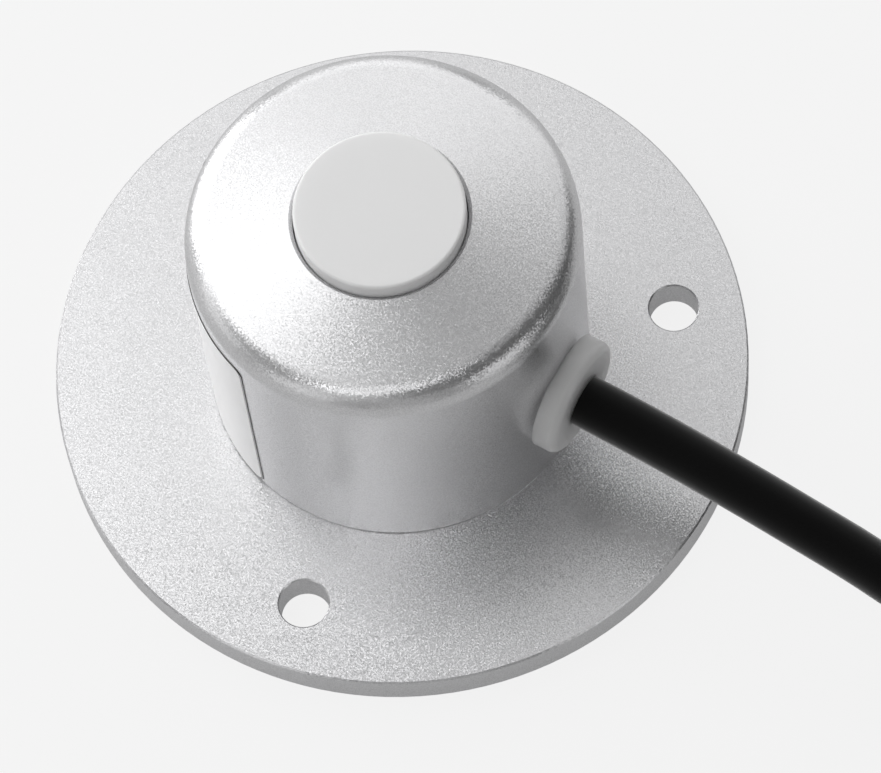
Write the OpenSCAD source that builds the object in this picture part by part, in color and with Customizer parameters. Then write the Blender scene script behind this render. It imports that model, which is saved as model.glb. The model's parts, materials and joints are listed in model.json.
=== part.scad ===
// Flange-mounted light sensor: a turned two-piece housing, a white diffuser over a photodiode,
// two round circuit boards and a sealed cable with a coiled spare length.
// The origin is the centre of the flange's underside. The cable leaves along +X.

/* [Base flange] */
// Diameter of the mounting flange
flange_d = 80; // [76:0.5:100]
// Thickness of the flange
flange_t = 4.5; // [4:0.1:6]
// Bevel on the flange's rim
flange_bevel = 0.2; // [0.1:0.05:0.6]
// Diameter of each mounting hole
mount_hole_d = 5.7; // [4:0.1:7]
// Bevel on the mounting holes
hole_bevel = 0.15; // [0.1:0.05:0.6]
// Diameter of the circle of mounting holes
mount_circle_d = 64; // [60:0.5:66]
// Number of mounting holes
mount_holes = 3; // [2:1:6]
// Direction of the first mounting hole, from the cable
mount_start = 40; // [20:1:60]
// Height of the spigot that centres the housing
spigot_h = 2.5; // [2.4:0.05:3.2]
// Thickness of the sealing ring's section
oring_t = 1.4; // [1:0.05:1.6]

/* [Housing] */
// Outer diameter of the housing
housing_d = 43.6; // [43.4:0.1:48]
// Thickness of the wall
wall_t = 5; // [4.2:0.1:5.1]
// Height of the cavity above the flange
cavity_h = 29; // [28.5:0.1:30]
// Height of the wall's straight outer face above the cavity's roof
roof_t = 3.7; // [3.6:0.1:8]
// Radius of the shoulder above the wall
shoulder_r = 3.3; // [1:0.05:5]
// Slope of the top, in degrees
top_slope = 10.9; // [6:0.1:20]
// Bevel at the foot of the wall
foot_bevel = 0.25; // [0.1:0.05:0.5]
// Bevel round the mouth of the housing
mouth_bevel = 0.5; // [0.05:0.05:0.6]

/* [Light window] */
// Diameter of the diffuser's face
diffuser_d = 18.9; // [16:0.1:20]
// Height of the diffuser's face above the mouth of the housing
diffuser_proud = 1.7; // [0.6:0.1:3]
// Rounding of the diffuser's edge
diffuser_round = 0.35; // [0.2:0.05:0.6]
// Gap between the diffuser and the mouth
diffuser_gap = 0.15; // [0.05:0.05:0.3]
// Width of the diffuser's clamped rim, beyond the mouth
rim_w = 1.3; // [0.8:0.05:1.6]
// Thickness of the clamped rim
rim_t = 1.7; // [1:0.1:2.5]
// Thickness of the diffuser's face
face_t = 3.2; // [2:0.1:5]
// Diameter of the hollow under the face
hollow_d = 10.4; // [8:0.1:11]
// Thickness of the gasket
gasket_t = 0.5; // [0.3:0.05:1]
// Thickness of the threaded retaining ring
retainer_t = 2.5; // [2.2:0.1:3.5]
// Diameter of the light opening in the retaining ring
aperture_d = 9; // [8.4:0.1:9.6]
// Diameter of the optical filter
filter_d = 12; // [11.4:0.1:14]
// Thickness of the optical filter
filter_t = 1.5; // [1:0.1:1.8]

/* [Photodiode] */
// Diameter of the photodiode's metal can
can_d = 8.2; // [7.6:0.1:8.6]
// Height of the can and its base
can_h = 4.1; // [3:0.1:4.2]
// Diameter of the opening over the chip
can_window_d = 6; // [4:0.1:6.4]
// Width of the square light-sensitive chip
chip_w = 2.7; // [1:0.1:3.4]

/* [Circuit boards] */
// Gap between the circuit boards and the wall
board_gap = 0.4; // [0.2:0.05:0.7]
// Thickness of both boards
board_t = 1.6; // [1:0.1:1.8]
// Free height between the spigot and the lower board
under_board = 2; // [1.8:0.05:2.2]
// Length of the short standoffs above the upper board
upper_standoff = 4.4; // [4.3:0.05:4.8]
// Width across the flats of the standoffs
standoff_af = 3.2; // [2.8:0.1:3.4]
// Distance of the standoffs' axes from the boards' edge
standoff_inset = 1.7; // [1.65:0.05:2.2]
// Diameter of the standoffs' screw thread
standoff_screw_d = 1.9; // [1.5:0.1:2.1]

/* [Cable gland] */
// Height of the cable's axis above the middle of the space between the boards
gland_rise = 0.25; // [-0.5:0.05:0.8]
// Diameter of the bush's outer head
bush_head_d = 13.7; // [12:0.1:16]
// Distance that the head stands out of the wall
bush_out = 2.8; // [2.2:0.1:5]
// Rounding of the head's front edge
bush_round = 1; // [0.3:0.1:1.5]
// Diameter of the threaded neck
neck_d = 9.8; // [9:0.1:10.4]
// Depth of the flat milled for the lock nut inside the wall
nut_flat_depth = 0.5; // [0.3:0.05:0.8]
// Thickness of the lock washer
washer_t = 0.5; // [0.3:0.05:0.8]
// Width across the flats of the lock nut
nut_af = 12; // [11.4:0.1:12.4]
// Thickness of the lock nut
nut_t = 2.5; // [2:0.1:2.8]
// Length of the neck beyond the lock nut
neck_spare = 1.3; // [0.5:0.1:2]
// Wall of the rubber seal round the cable
seal_wall = 1; // [0.6:0.05:1.1]
// Length of the clamping screw that presses the seal
clamp_len = 2; // [1.5:0.1:3]

/* [Cable] */
// Diameter of the cable's jacket
cable_d = 6; // [5:0.1:6.2]
// Diameter of each insulated core
core_d = 1.3; // [1:0.05:1.5]
// Length of cable inside the clamp, before the cores part
cable_inside = 1.4; // [0.5:0.1:3]
// Length of the shrunk sleeve at the cable's far end
sleeve_len = 10; // [6:0.5:14]
// Wall of the shrunk sleeve
sleeve_wall = 0.35; // [0.2:0.05:0.6]
// Diameter of the ferrule's metal pin
ferrule_d = 1.1; // [0.8:0.05:1.3]
// Length of the ferrule's metal pin
ferrule_len = 6; // [4:0.5:8]

/* [Coiled spare cable] */
// Turns in each full layer
layer_turns = 2.6; // [2:0.05:3]
// Turns in all four layers together
all_turns = 8.9; // [8.4:0.05:9]
// Radius of the innermost turn
coil_inner_r = 24.7; // [24:0.1:27]
// Distance between turns that lie side by side
turn_pitch = 6.7; // [6.65:0.05:7.5]
// Distance between layers
layer_pitch = 6.5; // [6.5:0.05:7]
// Thickness of the ties round the coil
tie_t = 1; // [0.6:0.1:1.2]
// Width of the ties
tie_w = 4.5; // [3:0.1:6]

/* [Label] */
// Length of the blank label round the wall, in degrees
label_arc = 149; // [90:1:160]
// Height of the label's lower edge above the flange
label_lift = 0.3; // [0.3:0.1:6]
// Distance from the label's upper edge up to the shoulder
label_drop = 1.8; // [0.5:0.1:6]
// Thickness of the label
label_t = 0.1; // [0.1:0.05:0.3]
// Radius of the label's corners
label_corner = 1.5; // [0.5:0.1:3]

/* [Fits] */
// Clearance round a seated or threaded piece
fit = 0.05; // [0.03:0.01:0.08]
// Clearance above a piece that is clamped elsewhere
free_gap = 0.2; // [0.1:0.05:0.3]

/* [Hidden] */
$fn = 72;

// Base and housing
base_r = flange_d / 2;
mount_r = mount_hole_d / 2;
housing_r = housing_d / 2;
cavity_r = housing_r - wall_t;
spigot_r = cavity_r - 2 * fit;
spigot_top = flange_t + spigot_h;
groove_r = cavity_r - oring_t;
groove_low = flange_t + 0.5;
groove_high = groove_low + oring_t;
roof_z = flange_t + cavity_h;
shoulder_z = roof_z + roof_t;
cone_r = housing_r - shoulder_r * (1 - sin(top_slope));
cone_z = shoulder_z + shoulder_r * cos(top_slope);
function top_z(r) = cone_z + (cone_r - r) * tan(top_slope);

// Screws that hold the housing on the flange from below
base_screw_count = 3;
base_screw_start = 60;
base_screw_r = 1.5;
base_screw_head_r = 2.9;
base_screw_head_h = base_screw_head_r - base_screw_r;
base_screw_sink = 0.2;
base_screw_bite = 6.5;
base_screw_key_af = 2;
base_screw_key_depth = 1.2;
base_screw_circle_r = (housing_r + cavity_r) / 2;

// Optical stack, from the roof of the cavity upwards
diffuser_r = diffuser_d / 2;
mouth_r = diffuser_r + diffuser_gap;
mouth_z = top_z(mouth_r);
rim_r = mouth_r + rim_w;
lens_bore_r = rim_r + 2 * fit;
retainer_z = roof_z + free_gap;
rim_z = retainer_z + retainer_t;
gasket_z = rim_z + rim_t;
lip_z = gasket_z + gasket_t;
diffuser_top = mouth_z + diffuser_proud;
gasket_inset = 0.25;
spanner_hole_r = 0.7;
spanner_hole_depth = 1.2;

// Circuit boards, from the roof downwards
board_r = cavity_r - board_gap;
upper_top = roof_z - upper_standoff;
upper_bottom = upper_top - board_t;
lower_bottom = spigot_top + under_board;
lower_top = lower_bottom + board_t;
standoff_count = 3;
standoff_start = 60;
standoff_hole_r = standoff_screw_d / 2 + fit;
standoff_circle_r = board_r - standoff_inset;
stud_bite = 3;
joint_bite = 1.9;
screw_bite = 4;
board_hole_extra = 0.1;
pan_head_r = 1.6;
pan_head_h = 1.2;
driver_slot = [2.2, 0.45, 0.7];

// Chips and other parts on the boards, seen from above; their places follow the boards' radius
chip_lift = 0.1;
chip_lead_w = 0.35;
chip_lead_t = 0.16;
small_part = [1.6, 0.8, 0.5];
trimmer_size = [4.4, 4.4, 3.2];
trimmer_screw_r = 1.5;
trimmer_groove = [0.2, 0.6];
trimmer_slot = [2.2, 0.5, 0.4];
amplifier_at = board_r * [0.09, -0.52];
trimmer_at = board_r * [0.06, 0.55];
controller_at = board_r * [-0.13, -0.56];
transceiver_at = board_r * [0.575, -0.365];
regulator_at = board_r * [0.195, 0.44];
inductor_at = board_r * [0.575, 0.4];
large_capacitor_at = board_r * [-0.27, 0.475];
small_capacitor_at = board_r * [0.145, 0.745];
diode_places = board_r * [[0.345, 0], [0.735, 0]];
fuse_at = board_r * [0.54, 0];
crystal_at = board_r * [0.255, -0.45];
upper_small_places = board_r * [
    [0.39, -0.41], [0.39, -0.505], [0.305, 0.45], [0.305, 0.56]
];
upper_turned_places = board_r * [
    [-0.4, -0.415], [-0.29, -0.415], [-0.185, -0.415], [-0.185, -0.635], [-0.195, 0.51],
    [-0.305, 0.51]
];
lower_small_places = board_r * [
    [-0.49, -0.73], [0.22, -0.62], [0.185, -0.72], [0.645, -0.635], [0.66, 0.645],
    [-0.38, -0.185], [-0.22, 0.77], [-0.22, 0.855], [-0.245, 0.035]
];
lower_turned_places = board_r * [
    [-0.585, -0.635], [-0.55, 0.61], [-0.645, 0.61], [-0.785, -0.305], [-0.785, 0.305]
];

// Photodiode
can_r = can_d / 2;
can_wall = 0.25;
can_brim = 0.35;
can_brim_t = 0.4;
can_base_t = 0.9;
can_glass_t = 0.5;
diode_pin_r = 0.225;
diode_pin_circle_r = 2.54;
pin_stickout = 0.9;
chip_t = 0.3;

// Board-to-board connector
strip_x = -0.61 * board_r;
strip_pins = 6;
strip_pitch = 2.54;
strip_w = 2.5;
strip_len = strip_pins * strip_pitch;
strip_h = 2.5;
socket_h = 8.5;
strip_pin_w = 0.64;
strip_hole_r = strip_pin_w / sqrt(2) + fit;
strip_pin_reach = 6;
strip_pin_spare = 0.5;

// Cable connector on the lower board
plug_x = 0.12 * board_r;
plug_pitch = 1.5;
plug_size = [2.6, 7.4, 4];
header_wall = 0.5;
header_floor = 0.8;
header_h = 3.2;
header_pin_w = 0.5;
plug_top = lower_top + header_floor + plug_size[2];

// Cable gland, along +X
gland_z = (lower_top + upper_bottom) / 2 + gland_rise;
cable_r = cable_d / 2;
bush_front = housing_r + bush_out;
bush_bore_r = cable_r + fit;
neck_r = neck_d / 2;
nut_flat_x = cavity_r + nut_flat_depth;
nut_corner_r = nut_af / 2 / cos(30);
nut_flat_r = nut_corner_r + 3 * fit;
nut_x = nut_flat_x - washer_t - nut_t;
neck_x = nut_x - neck_spare;
washer_r = nut_af / 2;
seal_r = cable_r + seal_wall;
clamp_proud = 0.6;
clamp_x = neck_x - clamp_proud;
seal_x = clamp_x + clamp_len;
seal_inset = 0.4;
seal_end = housing_r - seal_inset;
entry_x = clamp_x - cable_inside;

// Cores inside the cable, by side and height, and the order of their pins
core_r = core_d / 2;
core_offset = 0.95;
core_places = [[-1, -1], [-1, 1], [1, 1], [1, -1]];
wire_reach = 0.6;
wire_pull = 4;
wire_steps = 10;
wire_sides = 8;

// Label; its rounded corners run a little past its edges, so that each meets them at an angle
label_low = flange_t + label_lift;
label_high = shoulder_z - label_drop;
label_corner_lap = 0.06;

// Coil of spare cable: four layers that wind in and out again, held by ties
tie_gap = 0.1;
tie_angles = [45, 135];
tie_head = [3, 5.2];
coil_z = cable_r + tie_gap + tie_t;
coil_steps = 24;
coil_sides = 6;
run_sides = 12;
coil_outer_r = coil_inner_r + turn_pitch * layer_turns;
coil_straight = cable_d;
turn_blend = 0.25;

// Free stretch of cable from the bush to the coil
run_points = [
    [bush_front, 0, gland_z], [34, 0, 18.7], [43, 0, 17.4], [52, 0, 15.6], [61, 0, 13.4],
    [70, -0.6, 11], [79, -2.4, 8.5], [88, -5.4, 6.3], [96, -8.6, 4.9], [103, -11, 4.3],
    [110, -12, coil_z]
];
run_end = run_points[len(run_points) - 1];
coil_centre = [run_end[0] + coil_straight, run_end[1] + coil_outer_r, 0];
coil_start_angle = -90;

function unit(v) = v / norm(v);
function clamp01(x) = min(1, max(0, x));
function smooth(x) = let (c = clamp01(x)) c * c * (3 - 2 * c);

// Turns from the nearest place where the spiral reverses, rounded off near it
function soft_turns(u) =
    let (a = abs(u)) a < turn_blend ? (u * u + turn_blend * turn_blend) / (2 * turn_blend) : a;
function reversal(t) = min(3, round(t / layer_turns));
function coil_radius(t) =
    let (k = reversal(t), u = t - k * layer_turns)
    k == 0 ? coil_outer_r - turn_pitch * t
    : k % 2 == 1 ? coil_inner_r + turn_pitch * soft_turns(u)
    : coil_outer_r - turn_pitch * soft_turns(u);
function coil_height(t) =
    coil_z + layer_pitch * (
        smooth((t - layer_turns) / (2 * turn_blend) + 0.5)
        + smooth((t - 2 * layer_turns) / (2 * turn_blend) + 0.5)
        + smooth((t - 3 * layer_turns) / (2 * turn_blend) + 0.5));
function coil_angle(t) = coil_start_angle + 360 * t;
function coil_point(t) =
    coil_centre + [coil_radius(t) * cos(coil_angle(t)), coil_radius(t) * sin(coil_angle(t)),
                   coil_height(t)];
function along(angle) = [-sin(angle), cos(angle), 0];

coil_rings = round(all_turns * coil_steps);
coil_end = coil_point(all_turns);
coil_end_way = along(coil_angle(all_turns));
coil_line = [for (i = [0 : coil_rings]) coil_point(i * all_turns / coil_rings)];
coil_path = concat([run_end], coil_line, [coil_end + coil_straight * coil_end_way]);
coil_gap = min([for (i = [0 : coil_rings - coil_steps / 2], j = [i + coil_steps / 2 : coil_rings])
    norm(coil_line[i] - coil_line[j])]) - cable_d;
echo(least_gap_between_coil_turns_mm = coil_gap);

// Sleeve and leads at the far end, which lie on the coil's third layer
sleeve_start = coil_end + coil_straight * coil_end_way;
sleeve_end = sleeve_start + sleeve_len * coil_end_way;
sleeve_r = cable_r + sleeve_wall;
sleeve_round = 1.6;
coil_across = [coil_end_way[1], -coil_end_way[0], 0];
ferrule_collar_r = 1.05;
ferrule_collar_len = 4;
lead_radii = [38.5, 36.1, 33.7, 31.3];
lead_end_angle = 320;
lead_z = coil_z + 2 * layer_pitch + cable_r + ferrule_collar_r + free_gap;
lead_corners = [[1, -1], [1, 1], [-1, 1], [-1, -1]];
lead_pull = [11, 14];
lead_steps = 12;
lead_facets = 6;

// Rings of points swept along a path, square to it; ref is never along the path
function way(path, i, first, last) =
    i == 0 ? unit(first) : i == len(path) - 1 ? unit(last) : unit(path[i + 1] - path[i - 1]);
function ring_at(p, t, r, sides, ref) =
    let (side = unit(cross(t, ref)), up = cross(side, t))
    [for (k = [0 : sides - 1]) p + r * (cos(360 * k / sides) * side + sin(360 * k / sides) * up)];
function tube_points(path, r, sides, ref, first, last) =
    [for (i = [0 : len(path) - 1]) each ring_at(path[i], way(path, i, first, last), r, sides, ref)];
function tube_walls(rings, sides) =
    [for (i = [0 : rings - 2], k = [0 : sides - 1])
        let (a = i * sides + k, b = i * sides + (k + 1) % sides)
        each [[a, b, b + sides], [a, b + sides, a + sides]]];
function tube_caps(rings, sides) =
    let (last = (rings - 1) * sides)
    [for (k = [1 : sides - 2]) each [[0, k + 1, k], [last, last + k, last + k + 1]]];
module tube(path, r, sides, first, last, ref = [0, 0, 1])
    polyhedron(tube_points(path, r, sides, ref, first, last),
               concat(tube_walls(len(path), sides), tube_caps(len(path), sides)));

function bezier(a, b, c, d, t) =
    pow(1 - t, 3) * a + 3 * pow(1 - t, 2) * t * b + 3 * (1 - t) * t * t * c + t * t * t * d;
function curve(a, b, c, d, steps) = [for (i = [0 : steps]) bezier(a, b, c, d, i / steps)];

module around(count, start, radius)
    for (i = [0 : count - 1]) rotate(start + 360 * i / count) translate([radius, 0, 0]) children();

module along_x(x, z) translate([x, 0, z]) rotate([0, 90, 0]) children();

module hex(af, h) rotate(30) cylinder(r = af / 2 / cos(30), h = h, $fn = 6);

module pipe(outer, inner, h) difference() {
    cylinder(r = outer, h = h);
    translate([0, 0, -1]) cylinder(r = inner, h = h + 2);
}

// A disc's half outline with its upper edge rounded
module round_top_outline(r, low, high, round) {
    translate([0, low]) square([r, high - low - round]);
    translate([0, low]) square([r - round, high - low]);
    translate([r - round, high - round]) circle(r = round);
}

module slab(size) translate([-size[0] / 2, -size[1] / 2, 0]) cube(size);

// One bent lead of a chip package, reaching along +X from the body's side
module gull_lead(reach, body_h, width)
    rotate([90, 0, 0]) linear_extrude(width, center = true)
        polygon([[0, (body_h + chip_lead_t) / 2], [0.4 * reach, (body_h + chip_lead_t) / 2],
                 [0.55 * reach, chip_lead_t], [reach, chip_lead_t], [reach, 0], [0.45 * reach, 0],
                 [0.3 * reach, (body_h - chip_lead_t) / 2], [0, (body_h - chip_lead_t) / 2]]);

// A moulded package with leads on its X sides, and on its Y sides too if four is true
module chip_package(w, l, h, leads, pitch, reach, four = false) {
    translate([0, 0, chip_lift]) slab([w, l, h - chip_lift]);
    for (side = four ? [0, 90, 180, 270] : [0, 180], i = [0 : leads - 1])
        rotate(side) translate([w / 2, (i - (leads - 1) / 2) * pitch, 0])
            gull_lead(reach, h, chip_lead_w);
}

// Small two-ended parts on a board, along X at some places and along Y at others
module small_parts(places, turned_places) {
    for (p = places) translate(p) slab(small_part);
    for (p = turned_places) translate(p) rotate(90) slab(small_part);
}

module base_flange() color("silver") difference() {
    rotate_extrude() polygon([
        [0, 0], [base_r - flange_bevel, 0], [base_r, flange_bevel],
        [base_r, flange_t - flange_bevel], [base_r - flange_bevel, flange_t],
        [spigot_r, flange_t], [spigot_r, groove_low], [groove_r, groove_low],
        [groove_r, groove_high], [spigot_r, groove_high], [spigot_r, spigot_top], [0, spigot_top]
    ]);
    around(mount_holes, mount_start, mount_circle_d / 2) {
        translate([0, 0, -1]) cylinder(r = mount_r, h = flange_t + 2);
        translate([0, 0, flange_t - hole_bevel])
            cylinder(r1 = mount_r, r2 = mount_r + 2 * hole_bevel, h = 2 * hole_bevel);
        translate([0, 0, -hole_bevel])
            cylinder(r1 = mount_r + 2 * hole_bevel, r2 = mount_r, h = 2 * hole_bevel);
    }
    around(base_screw_count, base_screw_start, base_screw_circle_r) {
        translate([0, 0, -1]) cylinder(r = base_screw_r + fit, h = spigot_top + 2);
        translate([0, 0, -1]) cylinder(r = base_screw_head_r + fit, h = 1 + base_screw_sink);
        translate([0, 0, base_screw_sink])
            cylinder(r1 = base_screw_head_r + fit, r2 = base_screw_r + fit, h = base_screw_head_h);
    }
}

module base_oring() color("dimgray") rotate_extrude()
    translate([groove_r + oring_t / 2, groove_low + oring_t / 2]) circle(d = oring_t);

module base_screws() color("lightgray") around(base_screw_count, base_screw_start, base_screw_circle_r)
    translate([0, 0, base_screw_sink]) difference() {
        union() {
            cylinder(r1 = base_screw_head_r, r2 = base_screw_r, h = base_screw_head_h);
            cylinder(r = base_screw_r, h = flange_t - base_screw_sink + base_screw_bite);
        }
        translate([0, 0, -1]) hex(base_screw_key_af, 1 + base_screw_key_depth);
    }

module housing_outline() {
    polygon([[0, flange_t], [housing_r - foot_bevel, flange_t], [housing_r, flange_t + foot_bevel],
             [housing_r, shoulder_z], [housing_r - shoulder_r, shoulder_z], [cone_r, cone_z],
             [0, top_z(0)]]);
    translate([housing_r - shoulder_r, shoulder_z]) circle(r = shoulder_r);
}

module housing() color("silver") difference() {
    rotate_extrude() housing_outline();
    translate([0, 0, flange_t - 1]) cylinder(r = cavity_r, h = cavity_h + 1);
    translate([0, 0, roof_z - 1]) cylinder(r = lens_bore_r, h = lip_z - roof_z + 1);
    cylinder(r = mouth_r, h = top_z(0) + 1);
    translate([0, 0, mouth_z - mouth_bevel]) cylinder(r1 = mouth_r, r2 = mouth_r + 1, h = 1);
    along_x(cavity_r / 2, gland_z) cylinder(r = neck_r + fit, h = housing_r);
    along_x(cavity_r / 2, gland_z) cylinder(r = nut_flat_r, h = nut_flat_x - cavity_r / 2);
    around(base_screw_count, base_screw_start, base_screw_circle_r)
        cylinder(r = base_screw_r + fit, h = flange_t + base_screw_bite + 0.5);
    around(standoff_count, standoff_start, standoff_circle_r)
        translate([0, 0, roof_z - 1]) cylinder(r = standoff_hole_r, h = 1 + stud_bite + 0.5);
}

module diffuser() color("white") rotate_extrude() difference() {
    union() {
        translate([0, rim_z]) square([rim_r, rim_t]);
        round_top_outline(diffuser_r, rim_z, diffuser_top, diffuser_round);
    }
    translate([-1, rim_z - 1]) square([hollow_d / 2 + 1, diffuser_top - face_t - rim_z + 1]);
}

module diffuser_gasket() color("dimgray")
    translate([0, 0, gasket_z]) pipe(rim_r, mouth_r + gasket_inset, gasket_t);

module retaining_ring() color("black") translate([0, 0, retainer_z]) difference() {
    cylinder(r = lens_bore_r - fit, h = retainer_t);
    translate([0, 0, -1]) cylinder(r = aperture_d / 2, h = retainer_t + 2);
    translate([0, 0, retainer_t - filter_t]) cylinder(r = filter_d / 2 + fit, h = filter_t + 1);
    for (turn = [0, 180]) rotate(turn) translate([(filter_d / 2 + lens_bore_r) / 2, 0, -1])
        cylinder(r = spanner_hole_r, h = 1 + spanner_hole_depth);
}

module optical_filter() color("cadetblue")
    translate([0, 0, rim_z - filter_t]) cylinder(r = filter_d / 2, h = filter_t);

module diode_pins(r, low, high) around(3, 30, diode_pin_circle_r)
    translate([0, 0, low]) cylinder(r = r, h = high - low);

module photodiode_base() color("goldenrod") {
    translate([0, 0, upper_top]) cylinder(r = can_r + can_brim, h = can_brim_t);
    translate([0, 0, upper_top]) cylinder(r = can_r - can_wall - fit, h = can_base_t);
    diode_pins(diode_pin_r, upper_bottom - pin_stickout, upper_top + can_base_t + 0.3);
}

module photodiode_can() color("gold") translate([0, 0, upper_top]) difference() {
    translate([0, 0, can_brim_t]) cylinder(r = can_r, h = can_h - can_brim_t);
    translate([0, 0, -1]) cylinder(r = can_r - can_wall, h = 1 + can_h - can_wall);
    cylinder(r = can_window_d / 2, h = can_h + 1);
}

module photodiode_window() color("lightblue")
    translate([0, 0, upper_top + can_h - can_wall - can_glass_t])
        cylinder(r = can_r - can_wall - fit, h = can_glass_t);

module photodiode_chip() color("darkslateblue")
    translate([0, 0, upper_top + can_base_t]) slab([chip_w, chip_w, chip_t]);

module board_blank(low) difference() {
    translate([0, 0, low]) cylinder(r = board_r, h = board_t);
    around(standoff_count, standoff_start, standoff_circle_r)
        translate([0, 0, low - 1]) cylinder(r = standoff_hole_r + board_hole_extra, h = board_t + 2);
}

function strip_y(i) = (i - (strip_pins - 1) / 2) * strip_pitch;
module strip_places() for (i = [0 : strip_pins - 1]) translate([strip_x, strip_y(i), 0]) children();

module sensor_board() color("darkgreen") difference() {
    board_blank(upper_bottom);
    diode_pins(diode_pin_r + 2 * fit, upper_bottom - 1, upper_top + 1);
    strip_places() translate([0, 0, upper_bottom - 1]) cylinder(r = strip_hole_r, h = board_t + 2);
}

// Parts under the upper board hang from it
module under_upper() translate([0, 0, upper_bottom]) mirror([0, 0, 1]) children();

module sensor_amplifier() color("#222222")
    under_upper() translate(amplifier_at) chip_package(3.9, 4.9, 1.5, 4, 1.27, 1.05);

// A square trimmer with a ring groove round its slotted screw
module gain_trimmer() color("royalblue") under_upper() translate(trimmer_at) difference() {
    slab(trimmer_size);
    translate([0, 0, trimmer_size[2] - trimmer_groove[1]])
        pipe(trimmer_screw_r + trimmer_groove[0], trimmer_screw_r, 2 * trimmer_groove[1]);
    translate([0, 0, trimmer_size[2] - trimmer_slot[2]])
        slab([trimmer_slot[0], trimmer_slot[1], 2 * trimmer_slot[2]]);
}

module sensor_passives() color("tan")
    under_upper() small_parts(upper_small_places, upper_turned_places);

module upper_standoffs() color("goldenrod") around(standoff_count, standoff_start, standoff_circle_r)
    translate([0, 0, upper_top]) difference() {
        union() {
            hex(standoff_af, upper_standoff);
            cylinder(r = standoff_screw_d / 2, h = upper_standoff + stud_bite);
        }
        translate([0, 0, -1]) cylinder(r = standoff_hole_r, h = 1 + joint_bite + 0.4);
    }

module lower_standoffs() color("goldenrod") around(standoff_count, standoff_start, standoff_circle_r)
    translate([0, 0, lower_top]) difference() {
        union() {
            hex(standoff_af, upper_bottom - lower_top);
            cylinder(r = standoff_screw_d / 2, h = upper_top - lower_top + joint_bite);
        }
        translate([0, 0, -1]) cylinder(r = standoff_hole_r, h = 1 + screw_bite + 1);
    }

module board_screws() color("lightgray") around(standoff_count, standoff_start, standoff_circle_r)
    translate([0, 0, lower_bottom]) difference() {
        union() {
            rotate([180, 0, 0]) cylinder(r = pan_head_r, h = pan_head_h);
            cylinder(r = standoff_screw_d / 2, h = board_t + screw_bite);
        }
        for (turn = [0, 90]) rotate(turn) translate([0, 0, -pan_head_h - 1])
            slab([driver_slot[0], driver_slot[1], driver_slot[2] + 1]);
    }

module main_board() color("darkgreen") board_blank(lower_bottom);

module on_lower() translate([0, 0, lower_top]) children();

module microcontroller() color("#222222")
    on_lower() translate(controller_at) chip_package(5, 5, 1.2, 8, 0.55, 0.7, true);

module bus_transceiver() color("#222222")
    on_lower() translate(transceiver_at) chip_package(3.9, 4.9, 1.5, 4, 1.27, 1.05);

module voltage_regulator() color("#222222")
    on_lower() translate(regulator_at) rotate(90) chip_package(1.6, 2.9, 1.1, 3, 0.95, 0.6);

module power_inductor() color("dimgray") on_lower() translate(inductor_at) {
    slab([5, 5, 2.6]);
    cylinder(r = 2, h = 3);
}

module round_capacitor(r, h) {
    slab([2.1 * r, 2.1 * r, 0.8]);
    cylinder(r = r, h = h);
}

module storage_capacitors() color("lightsteelblue") on_lower() {
    translate(large_capacitor_at) round_capacitor(3.15, 5.8);
    translate(small_capacitor_at) round_capacitor(2, 4.4);
}

module surge_diodes() color("#303030") on_lower()
    for (p = diode_places) translate(p) slab([2.6, 4.4, 2]);

module reset_fuse() color("darkolivegreen") on_lower() translate(fuse_at) slab([2.6, 4.5, 0.9]);

module clock_crystal() color("lightgray") on_lower() translate(crystal_at) slab([2.5, 3.2, 0.8]);

module main_passives() color("tan")
    on_lower() small_parts(lower_small_places, lower_turned_places);

module stacking_socket() color("#1a1a1a") on_lower() difference() {
    translate([strip_x, 0, 0]) slab([strip_w, strip_len, socket_h]);
    strip_places() translate([0, 0, socket_h - strip_pin_reach - strip_pin_spare])
        slab([strip_pin_w + 4 * fit, strip_pin_w + 4 * fit, socket_h]);
}

module stacking_pins() color("goldenrod") {
    low = lower_top + socket_h - strip_pin_reach;
    translate([strip_x, 0, upper_bottom - strip_h]) slab([strip_w, strip_len, strip_h]);
    strip_places() translate([0, 0, low])
        slab([strip_pin_w, strip_pin_w, upper_top + pin_stickout - low]);
}

function plug_y(i) = (i - 1.5) * plug_pitch;
module plug_places() for (i = [0 : 3]) translate([plug_x, plug_y(i), lower_top]) children();

module wire_header() color("ivory") {
    translate([plug_x, 0, lower_top]) difference() {
        slab([plug_size[0] + 2 * (header_wall + fit), plug_size[1] + 2 * (header_wall + fit), header_h]);
        translate([0, 0, header_floor]) slab([plug_size[0] + 2 * fit, plug_size[1] + 2 * fit, header_h]);
    }
    plug_places() slab([header_pin_w, header_pin_w, header_h]);
}

module wire_plug() color("white") difference() {
    translate([plug_x, 0, lower_top + header_floor]) slab(plug_size);
    plug_places() slab([header_pin_w + 2 * fit, header_pin_w + 2 * fit, header_h + 0.3]);
}

function core_at(i) = [0, core_places[i][0] * core_offset, core_places[i][1] * core_offset];

// Core number i from the end of the cable down to its place in the plug
module core_wire(i) {
    top = [plug_x, plug_y(i), plug_top];
    end = [entry_x, 0, gland_z] + core_at(i);
    rise = wire_reach * (end[2] - top[2]);
    tube(curve(top, top + [0, 0, rise], end - [wire_pull, 0, 0], end, wire_steps), core_r,
         wire_sides, [0, 0, 1], [1, 0, 0], ref = [0, 1, 0]);
}

module wire_brown() color("saddlebrown") core_wire(0);
module wire_black() color("#151515") core_wire(1);
module wire_yellow() color("gold") core_wire(2);
module wire_blue() color("mediumblue") core_wire(3);

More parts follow.
